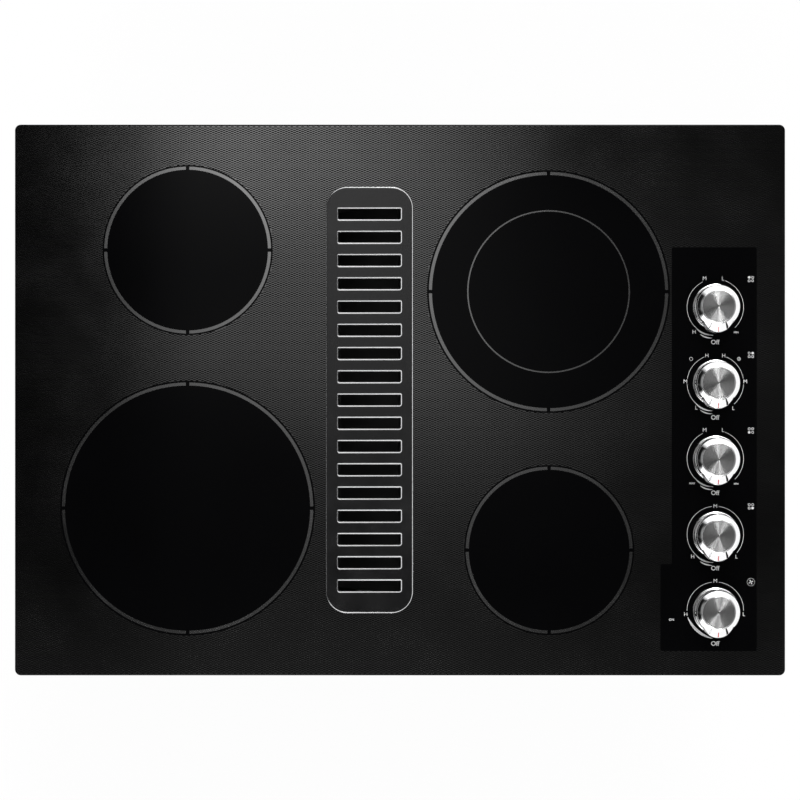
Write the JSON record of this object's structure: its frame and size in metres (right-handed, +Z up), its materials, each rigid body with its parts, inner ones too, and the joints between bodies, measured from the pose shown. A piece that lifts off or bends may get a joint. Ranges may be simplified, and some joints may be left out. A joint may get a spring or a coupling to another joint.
{
  "type": "downdraft cooktop",
  "caption": "Drop-in electric cooktop: black glass top with radiant elements, a central downdraft vent with blower and filter below, and a row of push-to-turn knobs at the right.",
  "frame": {"origin": "centre of the worktop cut-out, at the level of the worktop's surface", "axes": "+X to the user's right, +Y to the rear, +Z up"},
  "size_m": [0.783, 0.56, 0.3955],
  "materials": {
    "ceramic_glass": "polished black glass-ceramic with a fine dark print",
    "foam": "matt closed-cell foam",
    "galvanised": "galvanised sheet",
    "aluminised": "aluminised sheet",
    "spring_steel": "bright spring strip",
    "insulation": "pressed mineral fibre",
    "ribbon": "oxidised heating strip",
    "steatite": "matt ceramic",
    "switch_plastic": "moulded phenolic",
    "dark_plastic": "moulded plastic",
    "seal_rubber": "silicone",
    "cable": "heat-proof cable sheath",
    "motor_black": "satin black",
    "plated_screw": "zinc plated",
    "grille_grey": "satin dark grey",
    "filter_metal": "expanded metal layers",
    "wheel_metal": "satin",
    "jar_plastic": "clear heat-proof plastic",
    "cam_plastic": "moulded",
    "shaft_steel": "turned",
    "knob_chrome": "bright satin chrome",
    "cap_steel": "brushed from the centre"
  },
  "bodies": {
    "cooktop": {"glass_top": "ceramic_glass", "rim_seal": "foam", "burner_box": "galvanised", "vent_well": "aluminised", "element_rails": "galvanised", "element_springs": "spring_steel", "pan_rear_left": "aluminised", "pan_front_left": "aluminised", "pan_rear_right": "aluminised", "pan_front_right": "aluminised", "insulation_rear_left": "insulation", "insulation_front_left": "insulation", "insulation_rear_right": "insulation", "insulation_front_right": "insulation", "heating_ribbons": "ribbon", "thermal_limiters": "steatite", "control_plate": "galvanised", "heat_switches": "switch_plastic", "dual_switch": "switch_plastic", "fan_control": "dark_plastic", "knob_seals": "seal_rubber", "indicator_lamps": "dark_plastic", "terminal_block": "dark_plastic", "junction_box": "galvanised", "wiring_harness": "cable", "scroll_housing": "galvanised", "scroll_cover": "galvanised", "blower_motor": "motor_black", "motor_bracket": "galvanised", "duct_collar": "galvanised", "jar_collar": "dark_plastic", "clamp_brackets": "galvanised", "clamp_screws": "plated_screw", "chassis_screws": "plated_screw"},
    "grille": {"vent_grille": "grille_grey"},
    "filter": {"filter_frame": "filter_metal", "filter_mesh": "filter_metal"},
    "wheel": {"blower_wheel": "wheel_metal"},
    "damper": {"damper_flap": "aluminised"},
    "jar": {"overflow_jar": "jar_plastic"},
    "switch_rear_left": {"cam_rear_left": "cam_plastic"},
    "control_rear_left": {"shaft_rear_left": "shaft_steel", "knob_rear_left": "knob_chrome", "cap_rear_left": "cap_steel"},
    "switch_rear_right": {"cam_rear_right": "cam_plastic"},
    "control_rear_right": {"shaft_rear_right": "shaft_steel", "knob_rear_right": "knob_chrome", "cap_rear_right": "cap_steel"},
    "switch_front_left": {"cam_front_left": "cam_plastic"},
    "control_front_left": {"shaft_front_left": "shaft_steel", "knob_front_left": "knob_chrome", "cap_front_left": "cap_steel"},
    "switch_front_right": {"cam_front_right": "cam_plastic"},
    "control_front_right": {"shaft_front_right": "shaft_steel", "knob_front_right": "knob_chrome", "cap_front_right": "cap_steel"},
    "switch_fan": {"cam_fan": "cam_plastic"},
    "control_fan": {"shaft_fan": "shaft_steel", "knob_fan": "knob_chrome", "cap_fan": "cap_steel"}
  },
  "joints": [
    {"name": "turn_rear_left", "type": "hinge", "parent": "cooktop", "child": "switch_rear_left", "pos_m": [0.3205, 0.0943, 0.03], "axis": [0, 0, 1], "continuous": true},
    {"name": "push_rear_left", "type": "slide", "parent": "switch_rear_left", "child": "control_rear_left", "axis": [0, 0, 1], "range_m": [-0.003, 0], "stiffness_N_per_m": 2000, "springref_m": 0.003},
    {"name": "turn_rear_right", "type": "hinge", "parent": "cooktop", "child": "switch_rear_right", "pos_m": [0.3205, 0.0173, 0.03], "axis": [0, 0, 1], "continuous": true},
    {"name": "push_rear_right", "type": "slide", "parent": "switch_rear_right", "child": "control_rear_right", "axis": [0, 0, 1], "range_m": [-0.003, 0], "stiffness_N_per_m": 2000, "springref_m": 0.003},
    {"name": "turn_front_left", "type": "hinge", "parent": "cooktop", "child": "switch_front_left", "pos_m": [0.3205, -0.0597, 0.03], "axis": [0, 0, 1], "continuous": true},
    {"name": "push_front_left", "type": "slide", "parent": "switch_front_left", "child": "control_front_left", "axis": [0, 0, 1], "range_m": [-0.003, 0], "stiffness_N_per_m": 2000, "springref_m": 0.003},
    {"name": "turn_front_right", "type": "hinge", "parent": "cooktop", "child": "switch_front_right", "pos_m": [0.3205, -0.1367, 0.03], "axis": [0, 0, 1], "continuous": true},
    {"name": "push_front_right", "type": "slide", "parent": "switch_front_right", "child": "control_front_right", "axis": [0, 0, 1], "range_m": [-0.003, 0], "stiffness_N_per_m": 2000, "springref_m": 0.003},
    {"name": "turn_fan", "type": "hinge", "parent": "cooktop", "child": "switch_fan", "pos_m": [0.3205, -0.2137, 0.03], "axis": [0, 0, 1], "range_deg": [-270, 0]},
    {"name": "push_fan", "type": "slide", "parent": "switch_fan", "child": "control_fan", "axis": [0, 0, 1], "range_m": [-0.003, 0], "stiffness_N_per_m": 2000, "springref_m": 0.003},
    {"name": "grille_lift", "type": "slide", "parent": "cooktop", "child": "grille", "axis": [0, 0, 1], "range_m": [0, 0.25]},
    {"name": "filter_lift", "type": "slide", "parent": "cooktop", "child": "filter", "axis": [0, 0, 1], "range_m": [0, 0.125]},
    {"name": "blower_spin", "type": "hinge", "parent": "cooktop", "child": "wheel", "pos_m": [0.06, -0.04, -0.196], "axis": [1, 0, 0], "continuous": true},
    {"name": "damper_swing", "type": "hinge", "parent": "cooktop", "child": "damper", "pos_m": [0.059, 0.138, -0.2695], "axis": [1, 0, 0], "range_deg": [0, 80]},
    {"name": "jar_drop", "type": "slide", "parent": "cooktop", "child": "jar", "axis": [0, 0, -1], "range_m": [0, 0.1]}
  ],
  "couplings": [
    {"joint": "filter_lift", "follows": "grille_lift", "ratio": 0.5}
  ]
}
